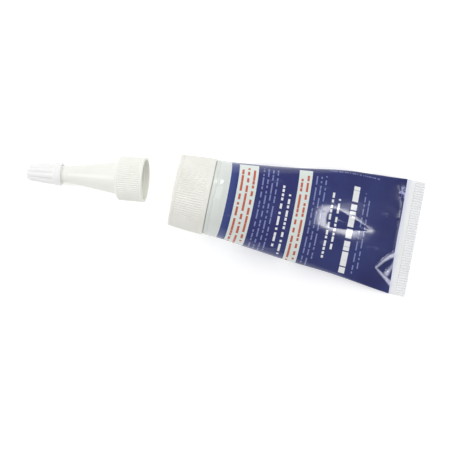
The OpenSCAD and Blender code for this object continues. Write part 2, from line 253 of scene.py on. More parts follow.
def buildRibbedTurning():
    tree, given, result = startTree(
        "ribbedTurning", "GeometryNodeTree",
        {"Outline": "Geometry", "Sides": "Int", "Ribs": "Int", "Rib Depth": "Float", "Groove Power": "Float",
         "Material": "Material"}, {"Geometry": "Geometry"})
    outline = given["Outline"]
    size = put(tree, "GeometryNodeAttributeDomainSize", (outline,), component="MESH")
    count = size.outputs["Point Count"]
    around = calc(tree, "ADD", given["Sides"], 1.0)
    grid = put(tree, "GeometryNodeMeshGrid", {"Vertices X": around, "Vertices Y": count})
    index = put(tree, "GeometryNodeInputIndex").outputs[0]
    row = calc(tree, "FLOORED_MODULO", index, count)
    column = calc(tree, "FLOOR", calc(tree, "DIVIDE", index, count))

    def fromOutline(kind, field):
        return put(tree, "GeometryNodeSampleIndex", {"Geometry": outline, "Value": field, "Index": row},
                   data_type=kind, domain="POINT").outputs[0]

    position = put(tree, "GeometryNodeInputPosition").outputs[0]
    point = separate(tree, fromOutline("FLOAT_VECTOR", position))
    ribShare = put(tree, "GeometryNodeInputNamedAttribute", ("ribShare",), data_type="FLOAT").outputs[0]
    angle = times(tree, calc(tree, "DIVIDE", column, given["Sides"]), math.tau)
    # 0 on the crest of a rib, 1 at the bottom of a groove
    wave = spread(tree, calc(tree, "COSINE", times(tree, angle, given["Ribs"])), 0.5, -0.5)
    groove = calc(tree, "POWER", wave, given["Groove Power"])
    cut = times(tree, groove, fromOutline("FLOAT", ribShare), given["Rib Depth"])
    radius = calc(tree, "SUBTRACT", point["X"], cut)
    place = combine(tree, times(tree, radius, calc(tree, "COSINE", angle)),
                    times(tree, radius, calc(tree, "SINE", angle)), point["Z"])
    spun = put(tree, "GeometryNodeSetPosition", {"Geometry": grid.outputs["Mesh"], "Position": place})
    closed = put(tree, "GeometryNodeMergeByDistance", {"Geometry": spun.outputs[0], "Distance": weld})
    smooth = put(tree, "GeometryNodeSetShadeSmooth", {"Geometry": closed.outputs[0], "Shade Smooth": True})
    return finishTree(tree, result, smooth.outputs[0], given["Material"])


# screw thread of the cap's and the nozzle's sockets, in mm; the run-out is a share of its length

thread = {
    "socketRadius": 7.8, "leadRadius": 8.0, "leadLength": 2.0, "pitch": 3.0, "turns": 1.25, "foot": 1.8,
    "crest": 0.9, "rise": 0.8, "sink": 0.2, "runOut": 0.12, "runOutSize": 0.1, "stepsPerTurn": 48,
}


def buildThreadRidge():
    # right-hand screw ridge on a spiral, fading out at both ends
    tree, given, result = startTree(
        "threadRidge", "GeometryNodeTree",
        {"Geometry": "Geometry", "Foot Radius": "Float", "Pitch": "Float", "Turns": "Float",
         "Foot Half": "Float", "Crest Half": "Float", "Rise": "Float", "Sink": "Float",
         "Material": "Material"}, {"Geometry": "Geometry"})
    spiral = put(tree, "GeometryNodeCurveSpiral", {
        "Resolution": thread["stepsPerTurn"], "Rotations": given["Turns"],
        "Start Radius": given["Foot Radius"], "End Radius": given["Foot Radius"],
        "Height": times(tree, given["Turns"], given["Pitch"]), "Reverse": False})
    upright = put(tree, "GeometryNodeSetCurveNormal", {"Curve": spiral.outputs[0]}, mode="Z_UP")
    along = put(tree, "GeometryNodeSplineParameter").outputs["Factor"]
    runOut, small = thread["runOut"], thread["runOutSize"]
    fade = times(tree, ease(tree, along, 0.0, runOut, small, 1.0),
                 ease(tree, along, 1.0 - runOut, 1.0, 1.0, small))
    section = put(tree, "GeometryNodeCurvePrimitiveQuadrilateral", mode="POINTS")
    corners = ((given["Sink"], given["Foot Half"], -1.0), (given["Rise"], given["Crest Half"], -1.0),
               (given["Rise"], given["Crest Half"], 1.0), (given["Sink"], given["Foot Half"], 1.0))
    for number, (across, half, side) in enumerate(corners, 1):
        feed(tree, section.inputs["Point %d" % number], combine(tree, across, times(tree, half, side), 0.0))
    sized = put(tree, "GeometryNodeSetCurveRadius", {"Curve": upright.outputs[0], "Radius": fade})
    ridge = put(tree, "GeometryNodeCurveToMesh", {
        "Curve": sized.outputs[0], "Profile Curve": section.outputs[0], "Fill Caps": True})
    return finishTree(tree, result, ridge.outputs[0], given["Material"])


ribbedTurning = buildRibbedTurning()
threadRidge = buildThreadRidge()


def runTree(piece, tree, values):
    # sets the tree's inputs by identifier, then turns the result into the piece's own plain mesh
    modifier = piece.modifiers.new(tree.name, "NODES")
    modifier.node_group = tree
    for item in tree.interface.items_tree:
        if item.item_type == "SOCKET" and item.in_out == "INPUT" and item.name in values:
            modifier[item.identifier] = values[item.name]
    depsgraph = bpy.context.evaluated_depsgraph_get()
    mesh = bpy.data.meshes.new_from_object(
        piece.evaluated_get(depsgraph), preserve_all_data_layers=True, depsgraph=depsgraph)
    piece.modifiers.remove(modifier)
    start = piece.data
    piece.data = mesh
    bpy.data.meshes.remove(start)
    mesh.name = piece.name
    # one finish, without the empty slot that a grid starts with
    mesh.materials.clear()
    mesh.materials.append(values["Material"])
    mesh.polygons.foreach_set("material_index", [0] * len(mesh.polygons))
    return piece


def addObject(name, data=None):
    # starts as an empty mesh when it is given nothing
    added = bpy.data.objects.new(name, data or bpy.data.meshes.new(name))
    scene.collection.objects.link(added)
    return added


def faceOut(mesh):
    bm = bmesh.new()
    bm.from_mesh(mesh)
    bmesh.ops.recalc_face_normals(bm, faces=bm.faces)
    bm.to_mesh(mesh)
    bm.free()


def spin(name, outline, form, material):
    # outline: radius and height in mm, and the share of the ribs' depth there
    start = bpy.data.meshes.new(name + "Outline")
    start.from_pydata([(r * mm, 0, z * mm) for r, z, share in outline], [], [])
    shares = [share for r, z, share in outline]
    start.attributes.new("ribShare", "FLOAT", "POINT").data.foreach_set("value", shares)
    piece = runTree(addObject(name, start), ribbedTurning, {
        "Sides": form["ribs"] * form["sidesPerRib"], "Ribs": form["ribs"],
        "Rib Depth": form["ribDepth"] * mm, "Groove Power": form["groovePower"], "Material": material})
    faceOut(piece.data)
    return piece


def screwRidge(height, material):
    ridge = runTree(addObject("screwRidge"), threadRidge, {
        "Foot Radius": thread["socketRadius"] * mm, "Pitch": thread["pitch"] * mm, "Turns": thread["turns"],
        "Foot Half": thread["foot"] / 2 * mm, "Crest Half": thread["crest"] / 2 * mm,
        "Rise": -thread["rise"] * mm, "Sink": thread["sink"] * mm, "Material": material})
    ridge.data.transform(Matrix.Translation((0, 0, height * mm)))
    faceOut(ridge.data)
    return ridge


def joinInto(piece, other):
    bm = bmesh.new()
    bm.from_mesh(piece.data)
    bm.from_mesh(other.data)
    bm.to_mesh(piece.data)
    bm.free()
    spare = other.data
    bpy.data.objects.remove(other)
    bpy.data.meshes.remove(spare)


def rounded(corners, steps=4, support=0.12):
    # corners: radius, height, rounding; gives outline points with fillets and a support point beside each
    points = []
    room = 2.5 * support  # the least straight length that takes a support point
    for number, (r, z, fillet) in enumerate(corners):
        here = Vector((r, z))
        if fillet == 0:
            points.append((r, z, 0.0))
            continue
        back = Vector(corners[number - 1][:2]) - here
        ahead = Vector(corners[number + 1][:2]) - here
        backWay, aheadWay = back.normalized(), ahead.normalized()
        half = back.angle(ahead) / 2
        reach = fillet / math.tan(half)
        centre = here + (backWay + aheadWay).normalized() * fillet / math.sin(half)
        first = here + backWay * reach - centre
        last = here + aheadWay * reach - centre
        begin = math.atan2(first.y, first.x)
        sweep = (math.atan2(last.y, last.x) - begin + math.pi) % math.tau - math.pi
        if back.length > reach + room:
            points.append((*(here + backWay * (reach + support)), 0.0))
        for step in range(steps + 1):
            turn = begin + sweep * step / steps
            points.append((centre.x + fillet * math.cos(turn), centre.y + fillet * math.sin(turn), 0.0))
        if ahead.length > reach + room:
            points.append((*(here + aheadWay * (reach + support)), 0.0))
    return points


fadeSteps = (0.0, 0.15, 0.35, 0.6, 0.85, 1.0)  # closer together where a rib starts


def ribRun(start, end, radiusAt, fade, plain=5):
    # outline points along a ribbed stretch; the ribs rise over the fade length at each end
    length = abs(end - start)
    offsets = [fade * step for step in fadeSteps]
    offsets += [fade + (length - 2 * fade) * (n + 1) / (plain + 1) for n in range(plain)]
    offsets += [length - fade * step for step in reversed(fadeSteps)]
    points = []
    for offset in offsets:
        near = min(offset, length - offset) / fade
        share = math.sin(min(near, 1.0) * math.pi / 2)
        z = start + (end - start) * offset / length
        points.append((radiusAt(z), z, share))
    return points


# screw cap: fine grip ribs, stepped rim bead, smooth margin and a flat end with a gate mark; sizes in mm

cap = {
    "start": 2.3, "length": 13.72, "reach": 0.46, "rimRadius": 15.3, "endRadius": 14.15, "bulge": 0.18,
    "bead": 1.1, "beadStep": 0.6, "stepDrop": 0.1, "stepRise": 0.14, "margin": 1.15, "wall": 1.4,
    "ceiling": 11.52, "socketStart": 1.6, "socketOuter": 9.3, "seat": 10.22, "wadRadius": 7.1,
    "wadGap": 0.1, "threadHeight": 5.1,
    "gateRadius": 1.1, "gateDepth": 0.15, "gateSlope": 0.2,
    "ribs": 96, "ribDepth": 0.24, "ribDrop": 0.06, "ribFade": 0.55, "ribInset": 0.12,
    "sidesPerRib": 8, "groovePower": 1.2,
    # roundings
    "endRound": 0.6, "rimRound": 0.26, "stepRound": 0.05, "innerRound": 0.4, "edgeRound": 0.2,
    "wadRound": 0.15, "seatRound": 0.1, "fineRound": 0.06, "outerSteps": 5, "innerSteps": 3,
}


def capRadius(z):
    share = z / cap["length"]
    straight = cap["rimRadius"] + (cap["endRadius"] - cap["rimRadius"]) * share
    return straight + cap["bulge"] * math.sin(math.pi * share)


def capOutline():
    end, rim, step, ceiling = cap["length"], cap["rimRadius"], cap["beadStep"], cap["ceiling"]
    ribTop, ribFoot, inset = end - cap["margin"], cap["bead"], cap["ribInset"]
    gate, gateFloor = cap["gateRadius"], end - cap["gateDepth"]
    socketStart, seat, bore = cap["socketStart"], cap["seat"], thread["socketRadius"]
    lead, wadEnd = socketStart + thread["leadLength"], ceiling - cap["wadGap"]
    inside = rim - cap["wall"]
    slope = (cap["endRadius"] - rim) / end
    fine, edge, inner = cap["fineRound"], cap["edgeRound"], cap["innerRound"]
    outer = rounded([
        (0, gateFloor, 0), (gate, gateFloor, fine), (gate + cap["gateSlope"], end, fine),
        (cap["endRadius"], end, cap["endRound"]), (capRadius(ribTop), ribTop, 0)], cap["outerSteps"])
    ribs = ribRun(ribTop - inset, ribFoot + inset, lambda z: capRadius(z) - cap["ribDrop"], cap["ribFade"])
    rest = rounded([
        (capRadius(ribFoot), ribFoot, 0), (capRadius(step) - cap["stepDrop"], step + cap["stepRise"], fine),
        (capRadius(step), step, cap["stepRound"]), (rim, -cap["reach"], cap["rimRound"]),
        (inside, -cap["reach"], edge), (inside + slope * ceiling, ceiling, inner),
        (cap["socketOuter"], ceiling, inner), (cap["socketOuter"], socketStart, edge),
        (thread["leadRadius"], socketStart, edge), (thread["leadRadius"], lead, fine),
        (bore, lead, fine), (bore, seat, cap["seatRound"]), (cap["wadRadius"], seat, cap["seatRound"]),
        (cap["wadRadius"], wadEnd, cap["wadRound"]), (0, wadEnd, 0)], cap["innerSteps"])
    return outer + ribs + rest


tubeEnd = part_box("sleeve")[0].x
tubeAxis = (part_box("tube_head")[0].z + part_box("tube_head")[1].z) / 2
onTube = Matrix.Translation((tubeEnd, 0, tubeAxis)) @ Matrix.Rotation(math.radians(-90), 4, "Y")

ribbedCap = spin("ribbedCap", capOutline(), cap, plastics["whitePlastic"])
joinInto(ribbedCap, screwRidge(cap["threadHeight"], plastics["whitePlastic"]))
ribbedCap.data.transform(onTube @ Matrix.Translation((0, 0, cap["start"] * mm)))
print("cap:", len(ribbedCap.data.polygons), "faces")

# applicator nozzle: ribbed screw collar, hollow cone, straight land and tapered tip; sizes in mm

nozzle = {
    "collarRadius": 9.0, "collarEnd": 8.65, "lip": 0.8, "collarLength": 11.1, "bevelRadius": 7.5,
    "coneRadius": 6.5, "coneEnd": 31.0, "landRadius": 3.4, "landEnd": 33.7, "tipEnd": 44.7,
    "tipRadius": 2.45, "outlet": 0.95, "coneWall": 1.3, "socketDepth": 9.4, "threadHeight": 4.0,
    "ribs": 64, "ribStart": 0.9, "ribEnd": 10.1, "ribDepth": 0.25, "ribDrop": 0.1,
    "ribFade": 0.4, "sidesPerRib": 8, "groovePower": 1.1,
    "lipStep": 0.08, "bevelStep": 0.05, "bevelDrop": 0.02,
    # roundings
    "coneFillet": 0.8, "coneEndRound": 0.6, "innerRound": 0.4, "socketRound": 0.3, "edgeRound": 0.25,
    "leadRound": 0.2, "lipRound": 0.12, "fineRound": 0.06,
}


def nozzleOutline():
    lip, ribEnd, end = nozzle["lip"], nozzle["ribEnd"], nozzle["collarLength"]
    rim, bore, outlet = nozzle["collarRadius"], thread["socketRadius"], nozzle["outlet"]
    landRadius, landEnd, coneEnd = nozzle["landRadius"], nozzle["landEnd"], nozzle["coneEnd"]
    channel = nozzle["coneRadius"] - nozzle["coneWall"]
    depth, lead = nozzle["socketDepth"], thread["leadLength"]
    edge, inner, socketRound = nozzle["edgeRound"], nozzle["innerRound"], nozzle["socketRound"]
    fine, lipRound = nozzle["fineRound"], nozzle["lipRound"]
    ribFoot = rim - nozzle["ribDrop"]

    def crest(z):
        return ribFoot + (nozzle["collarEnd"] - ribFoot) * z / end

    ribs = ribRun(nozzle["ribStart"], ribEnd, crest, nozzle["ribFade"])
    rest = rounded([
        (crest(ribEnd) - nozzle["bevelDrop"], ribEnd + nozzle["bevelStep"], 0),
        (nozzle["bevelRadius"], end, edge), (nozzle["coneRadius"], end, nozzle["coneFillet"]),
        (landRadius, coneEnd, nozzle["coneEndRound"]), (landRadius, landEnd, edge),
        (nozzle["tipRadius"], nozzle["tipEnd"], edge), (outlet, nozzle["tipEnd"], lipRound),
        (outlet, landEnd, socketRound), (landRadius - nozzle["coneWall"], coneEnd, inner),
        (channel, end, inner), (channel, depth, socketRound), (bore, depth, socketRound),
        (bore, lead, fine), (thread["leadRadius"], lead, fine),
        (thread["leadRadius"], 0, nozzle["leadRound"]), (rim, 0, edge),
        (rim, lip, lipRound), (crest(lip), lip + nozzle["lipStep"], 0)])
    return ribs + rest + ribs[:1]


socket = mounts["nozzle_socket"]
nozzleTurn = (-Vector(socket["axis"])).to_track_quat("Z", "Y").to_matrix().to_4x4()
onNozzle = Matrix.Translation(Vector(socket["pos_m"])) @ nozzleTurn

applicator = spin("applicatorNozzle", nozzleOutline(), nozzle, plastics["nozzlePlastic"])
joinInto(applicator, screwRidge(nozzle["threadHeight"], plastics["nozzlePlastic"]))
applicator.data.transform(onNozzle)
print("nozzle:", len(applicator.data.polygons), "faces")

# tip cap: smooth rim, soft flutes, rounded end, tapered bore and closing pin; sizes in mm

tipCap = {
    "start": 33.85, "length": 14.75, "rimRadius": 4.7, "rimLength": 2.8, "bodyRadius": 4.5,
    "endRadius": 3.55, "endDome": 2.4, "flatShare": 0.6, "boreRadius": 3.55, "boreEnd": 2.6,
    "boreLength": 11.15, "pinRadius": 0.7, "pinLength": 2.2,
    "ribs": 10, "ribDepth": 0.42, "sidesPerRib": 24, "groovePower": 2.0,  # ribs between the flutes
    "fluteFade": 0.9, "fadeLift": 0.05, "fadeSteps": 5, "bodySteps": 8,
    "domeSteps": 8, "plainSteps": 3, "domePower": 1.5, "stepOut": 0.05, "stepRise": 0.02,
    # roundings
    "stepRound": 0.14, "rimRound": 0.22, "mouthRound": 0.2, "boreRound": 0.3, "pinFoot": 0.2,
    "pinRound": 0.25,
}


def tipCapOutline():
    length, rim, fade, dome = tipCap["length"], tipCap["rimLength"], tipCap["fluteFade"], tipCap["endDome"]
    domeStart, flat = length - dome, tipCap["endRadius"] - dome
    bodyRadius, rimRadius = tipCap["bodyRadius"], tipCap["rimRadius"]

    def body(z):
        return bodyRadius + (tipCap["endRadius"] - bodyRadius) * (z - rim) / (domeStart - rim)

    points = [(0, length, 0.0), (flat * tipCap["flatShare"], length, 0.0)]
    steps, plain = tipCap["domeSteps"], tipCap["plainSteps"]
    for step in range(steps + 1):
        turn = math.pi / 2 * (1 - step / steps)
        fluted = min(1.0, max(0.0, (step - plain) / (steps - plain))) ** tipCap["domePower"]
        points.append((flat + dome * math.cos(turn), domeStart + dome * math.sin(turn), fluted))
    steps = tipCap["bodySteps"]
    for step in range(1, steps + 1):
        z = domeStart + (rim + fade - domeStart) * step / steps
        points.append((body(z), z, 1.0))
    steps = tipCap["fadeSteps"]
    for step in range(1, steps + 1):
        z = rim + fade * (1 - step / steps)
        points.append((body(z), z + tipCap["fadeLift"], math.cos(step / steps * math.pi / 2)))
    boreLength, pinRadius = tipCap["boreLength"], tipCap["pinRadius"]
    pinEnd = boreLength - tipCap["pinLength"]
    return points + rounded([
        (bodyRadius + tipCap["stepOut"], rim + tipCap["stepRise"], 0), (rimRadius, rim, tipCap["stepRound"]),
        (rimRadius, 0, tipCap["rimRound"]), (tipCap["boreRadius"], 0, tipCap["mouthRound"]),
        (tipCap["boreEnd"], boreLength, tipCap["boreRound"]), (pinRadius, boreLength, tipCap["pinFoot"]),
        (pinRadius, pinEnd, tipCap["pinRound"]), (0, pinEnd, 0)])


flutedCap = spin("flutedTipCap", tipCapOutline(), tipCap, plastics["cleanWhite"])
flutedCap.data.transform(onNozzle @ Matrix.Translation((0, 0, tipCap["start"] * mm)))
print("tip cap:", len(flutedCap.data.polygons), "faces")

# sleeve: round at the head, pressed flat at the crimp, with the buckles of a handled tube; sizes in mm

sleeve = {
    "radius": 15.0, "axis": 15.3, "straight": 2.46, "length": 82.6, "wall": 0.5, "cavityEnd": 74.4,
    "crimpStart": 75.6, "crimpStrip": 3.2, "crimpBand": 3.8, "crimpHalf": 23.3119, "crimpLow": 0.12,
    "crimpThick": 1.0, "stripLap": 0.2, "bandLap": 0.3,
    "fullness": 1.2, "pinch": 0.45, "pinchRun": (0.5, 1.0),
    "upperSquare": 0.3, "lowerSquare": 1.2, "crimpSquare": 6.0, "squareOnset": 8.0,
    "barrel": 0.12, "barrelLength": 4.4, "barrelPower": 1.2, "lean": 0.018, "leanStart": 50.0,
    "sideSwell": 0.3, "swellAt": (45.0, 22.0), "sideShift": 0.85, "shiftAt": (51.0, 15.0),
    "dentShare": 0.6, "dentMargin": 0.9, "upperBand": (0.35, 0.8),  # how deep and how far down dents go
    "ridges": 46, "ridgeHeight": 0.3, "ridgeFade": 0.6, "ridgeSharp": 60.0,
    # mesh: sides round the girth, and rings closer together where the film is creased
    "sides": 320, "girthPoints": 4001, "barrelRings": 13,
    "ringRuns": [(5.2, 62.0, 0.9), (62.3, 66.0, 0.5)], "creasedFrom": 66.2, "creasedStep": 0.3,
}

# buckles and dents in plan, in mm along the tube and across it
# creases are raised lines, facets are sunk triangles, darts are hollows that run out to a point,
# and hollows are broad, with a swelling where the depth is below 0
buckles = {
    # path, height, width, how far the print pales, as stress whitening and as a painted highlight along the
    # crease
    "creases": [
        ([(69.0, -14.3), (71.5, -10.9), (74.0, -8.6), (76.4, -7.2)], 0.28, 0.75, 1.0),
        ([(69.0, -14.3), (71.5, -16.1), (73.9, -17.7), (76.2, -19.4)], 0.26, 0.7, 0.95),
        ([(76.5, -7.6), (75.7, -11.8), (74.4, -14.4), (73.7, -15.7)], 0.16, 0.9, 0.8),
        ([(71.5, 5.0), (73.4, 5.5), (75.2, 6.4)], 0.06, 0.4, 0.3),
        ([(76.0, 9.4), (76.8, 1.0), (77.5, -7.2)], 0.22, 0.4, 0.0),
        ([(73.0, 19.6), (74.0, 17.4), (75.2, 14.8)], 0.2, 0.5, 0.2),
        ([(45.5, 5.6), (54.2, 4.0), (59.5, 2.3), (65.0, 0.6)], 0.12, 2.8, 0.0),
    ],
    "creaseWidth": (0.7, 0.5), "creasePale": (0.6, 0.4), "creaseRise": (-0.3, 0.7),  # change along a crease
    # three corners, depth
    "facets": [((69.0, -14.3), (76.6, -7.4), (76.6, -19.2), 0.28),
               ((72.0, 16.8), (76.6, 13.6), (76.6, 20.6), 0.3)],
    "facetSlope": 2.4,
    # point, wide end, half width, depth
    "darts": [((67.0, -0.4), (47.6, 1.5), 3.9, 0.5)],
    "dartReach": (0.02, 1.3), "dartRise": (0.1, 0.95), "dartFall": (0.9, 1.1),
    # middle, length, width, depth
    "hollows": [(24.0, -3.0, 11.0, 11.0, 0.25), (42.0, 2.2, 19.0, 7.0, 0.42), (41.3, 2.2, 6.0, 8.0, -0.2),
                (64.0, -3.0, 14.0, 9.0, -0.26), (67.0, 20.0, 10.0, 12.0, 0.6), (70.0, -0.3, 5.5, 5.0, -0.2)],
    # height, rate and phase of the waves before the crimp
    "ripples": [(0.025, 0.62, 0.8), (0.012, 1.13, 2.1)], "rippleRise": (66, 72), "rippleFall": (72, 75),
    "crimpFade": (0.8, 2.8),
}


def smoothStep(value, low, high):
    share = np.clip((value - low) / (high - low), 0.0, 1.0)
    return share * share * (3 - 2 * share)


def hump(value, middle, width):
    return np.exp(-((value - middle) / width) ** 2)


def lineDistance(x, y, path):
    # distance from a bent line in plan, and the share of its length where it is nearest
    gap, share = np.full(np.shape(x), np.inf), np.zeros(np.shape(x))
    for number in range(len(path) - 1):
        (x0, y0), (x1, y1) = path[number], path[number + 1]
        dx, dy = x1 - x0, y1 - y0
        t = np.clip(((x - x0) * dx + (y - y0) * dy) / (dx * dx + dy * dy), 0.0, 1.0)
        off = np.hypot(x - x0 - t * dx, y - y0 - t * dy)
        share = np.where(off < gap, (number + t) / (len(path) - 1), share)
        gap = np.minimum(gap, off)
    return gap, share


def facetDepth(x, y, corners):
    # distance inside a triangle from its nearest side, in mm, or 0 outside
    (ax, ay), (bx, by), (cx, cy) = corners
    facing = math.copysign(1, (bx - ax) * (cy - ay) - (cx - ax) * (by - ay))
    inside = np.full(np.shape(x), np.inf)
    for (x0, y0), (x1, y1) in zip(corners, corners[1:] + corners[:1]):
        side = ((x1 - x0) * (y - y0) - (y1 - y0) * (x - x0)) / math.hypot(x1 - x0, y1 - y0)
        inside = np.minimum(inside, side * facing)
    return np.clip(inside, 0, None)


def dents(x, y):
    # height change of the sleeve's upper side in plan, and how far the print pales there, as stress whitening
    # and as a painted highlight along the creases
    lift, stressAndSheen = np.zeros(np.shape(x)), np.zeros(np.shape(x))
    (widthFoot, widthGain), (paleFoot, paleGain) = buckles["creaseWidth"], buckles["creasePale"]
    for path, height, width, pale in buckles["creases"]:
        gap, along = lineDistance(x, y, path)
        ridge = np.exp(-(gap / (width * (widthFoot + widthGain * along))) ** 2)
        lift += height * ridge * smoothStep(along, *buckles["creaseRise"])
        # the pale line along each crease: partly stress whitening, partly a painted highlight
        stressAndSheen = np.maximum(stressAndSheen, pale * np.sqrt(ridge) * (paleFoot + paleGain * along))
    for *corners, depth in buckles["facets"]:
        lift -= depth * smoothStep(facetDepth(x, y, corners), 0.0, buckles["facetSlope"])
    for (tipX, tipY), (endX, endY), width, depth in buckles["darts"]:
        dx, dy = endX - tipX, endY - tipY
        reach = math.hypot(dx, dy)
        along = np.clip(((x - tipX) * dx + (y - tipY) * dy) / reach ** 2, *buckles["dartReach"])
        off = ((x - tipX) * dy - (y - tipY) * dx) / reach
        groove = np.clip(1 - (off / (width * along)) ** 2, 0, 1) ** 2
        rise, fall = smoothStep(along, *buckles["dartRise"]), smoothStep(along, *buckles["dartFall"])
        lift -= depth * groove * rise * (1 - fall)
    for cx, cy, length, width, depth in buckles["hollows"]:
        lift -= depth * hump(x, cx, length) * hump(y, cy, width)
    ripple = sum(height * np.sin(y * rate + phase) for height, rate, phase in buckles["ripples"])
    lift += ripple * smoothStep(x, *buckles["rippleRise"]) * (1 - smoothStep(x, *buckles["rippleFall"]))
    fadeFrom, fadeTo = (sleeve["crimpStart"] + offset for offset in buckles["crimpFade"])
    return lift * (1 - smoothStep(x, fadeFrom, fadeTo)), stressAndSheen


def sleeveRing(x, inset, sides):
    # one section of the sleeve at x mm from its round end, as points at equal steps round its girth
    radius, axis, crimpLow = sleeve["radius"], sleeve["axis"], sleeve["crimpLow"]
    past = (x - sleeve["straight"]) / (sleeve["crimpStart"] - sleeve["straight"])
    share = min(1.0, max(0.0, past))
    half = radius + (sleeve["crimpHalf"] - radius) * share
    crimpTop = crimpLow + sleeve["crimpThick"]
    drop = (axis + radius - crimpTop) * (1 - max(0.0, past) ** sleeve["fullness"])
    pinch = sleeve["pinch"] * smoothStep(share, *sleeve["pinchRun"])
    top = crimpTop + (drop + math.sqrt(drop * drop + pinch * pinch)) / 2
    low = axis - radius + (crimpLow - axis + radius) * share
    deepest = -sleeve["dentShare"] * max(0.0, top - low - sleeve["dentMargin"])
    barrel = math.sin(math.pi * min(1.0, x / sleeve["barrelLength"])) ** sleeve["barrelPower"]
    swollen = sleeve["barrel"] * barrel - inset
    half, top, low = half + swollen, top + swollen, low - swollen
    # a circle that squares off towards the crimp, more so underneath
    turn = np.linspace(0, math.tau, sleeve["girthPoints"]) - math.pi / 2
    c, s = np.cos(turn), np.sin(turn)
    squareEnd = sleeve["crimpSquare"] * share ** sleeve["squareOnset"]
    square = np.where(s > 0, sleeve["upperSquare"], sleeve["lowerSquare"]) * math.sin(math.pi * share)
    power = 2 / (2 + square + squareEnd)
    y = half * np.sign(c) * np.abs(c) ** power
    z = (top + low) / 2 + (top - low) / 2 * np.sign(s) * np.abs(s) ** power
    girth = np.concatenate([[0], np.cumsum(np.hypot(np.diff(y), np.diff(z)))])
    steps = np.linspace(0, girth[-1], sides + 1)
    y, z = np.interp(steps, girth, y)[:-1], np.interp(steps, girth, z)[:-1]
    upper = smoothStep(z, *(low + band * (top - low) for band in sleeve["upperBand"]))
    lift, stressAndSheen = dents(np.full(sides, x), y)
    z = z + np.maximum(lift, deepest) * upper
    swell = hump(x, *sleeve["swellAt"]) * sleeve["sideSwell"]
    shift = hump(x, *sleeve["shiftAt"]) * sleeve["sideShift"]
    y = y * (1 + swell / radius) + shift * np.sqrt(smoothStep(np.abs(y), 0, half))
    lean = sleeve["lean"] * smoothStep(x, sleeve["leanStart"], sleeve["crimpStart"])
    return np.stack([x - lean * y, y, z], axis=1), stressAndSheen * upper


def roundRing(x, radius, sides):
    turn = np.arange(sides) * math.tau / sides - math.pi / 2
    y, z = radius * np.cos(turn), sleeve["axis"] + radius * np.sin(turn)
    return np.stack([np.full(sides, x), y, z], axis=1), np.zeros(sides)


def skinStations(end):
    # ring places along the sleeve
    parts = [np.linspace(0.0, sleeve["barrelLength"], sleeve["barrelRings"])]
    parts += [np.arange(*run) for run in sleeve["ringRuns"]]
    return np.concatenate(parts + [np.arange(sleeve["creasedFrom"], end, sleeve["creasedStep"])])


def loft(bm, sections, sides):
    # rings of points joined into a skin with print places, and closed at the last ring
    rings = []
    # per point, how far the print pales: stress whitening and painted crease highlights
    stressSheenLayer = bm.verts.layers.float.get("stressAndSheen") or bm.verts.layers.float.new("stressAndSheen")
    uvLayer = bm.loops.layers.uv.get("printMap") or bm.loops.layers.uv.new("printMap")
    girth = math.tau * sleeve["radius"]
    for x, (points, stressAndSheen) in sections:
        rings.append([])
        for point, amount in zip(points, stressAndSheen):
            vert = bm.verts.new(Vector(point) * mm + Vector((tubeEnd, 0, 0)))
            vert[stressSheenLayer] = float(amount)
            rings[-1].append(vert)
    faces = []
    for row in range(len(rings) - 1):
        for n in range(sides):
            m = (n + 1) % sides
            face = bm.faces.new((rings[row][n], rings[row][m], rings[row + 1][m], rings[row + 1][n]))
            places = ((row, n), (row, n + 1), (row + 1, n + 1), (row + 1, n))
            for loop, (ring, step) in zip(face.loops, places):
                loop[uvLayer].uv = (sections[ring][0], (0.5 - step / sides) * girth)
            faces.append(face)
    return rings, faces + closeRing(bm, rings[-1], sections[-1][0], uvLayer)


def closeRing(bm, ring, x, uvLayer):
    # bands across a flat ring, from its underside to its upper side
    sides = len(ring)
    faces = []
    for n in range(-(sides // 4), sides // 4):
        corners = (ring[n], ring[n + 1], ring[(sides // 2 - n - 1) % sides], ring[(sides // 2 - n) % sides])
        corners = list(dict.fromkeys(corners))
        if len(corners) > 2:
            face = bm.faces.new(corners)
            for loop in face.loops:
                loop[uvLayer].uv = (x, 0.0)
            faces.append(face)
    return faces


ridgeGrid = {"along": 15, "perRidge": 8.0, "dip": -0.00006, "dipShare": 0.5}


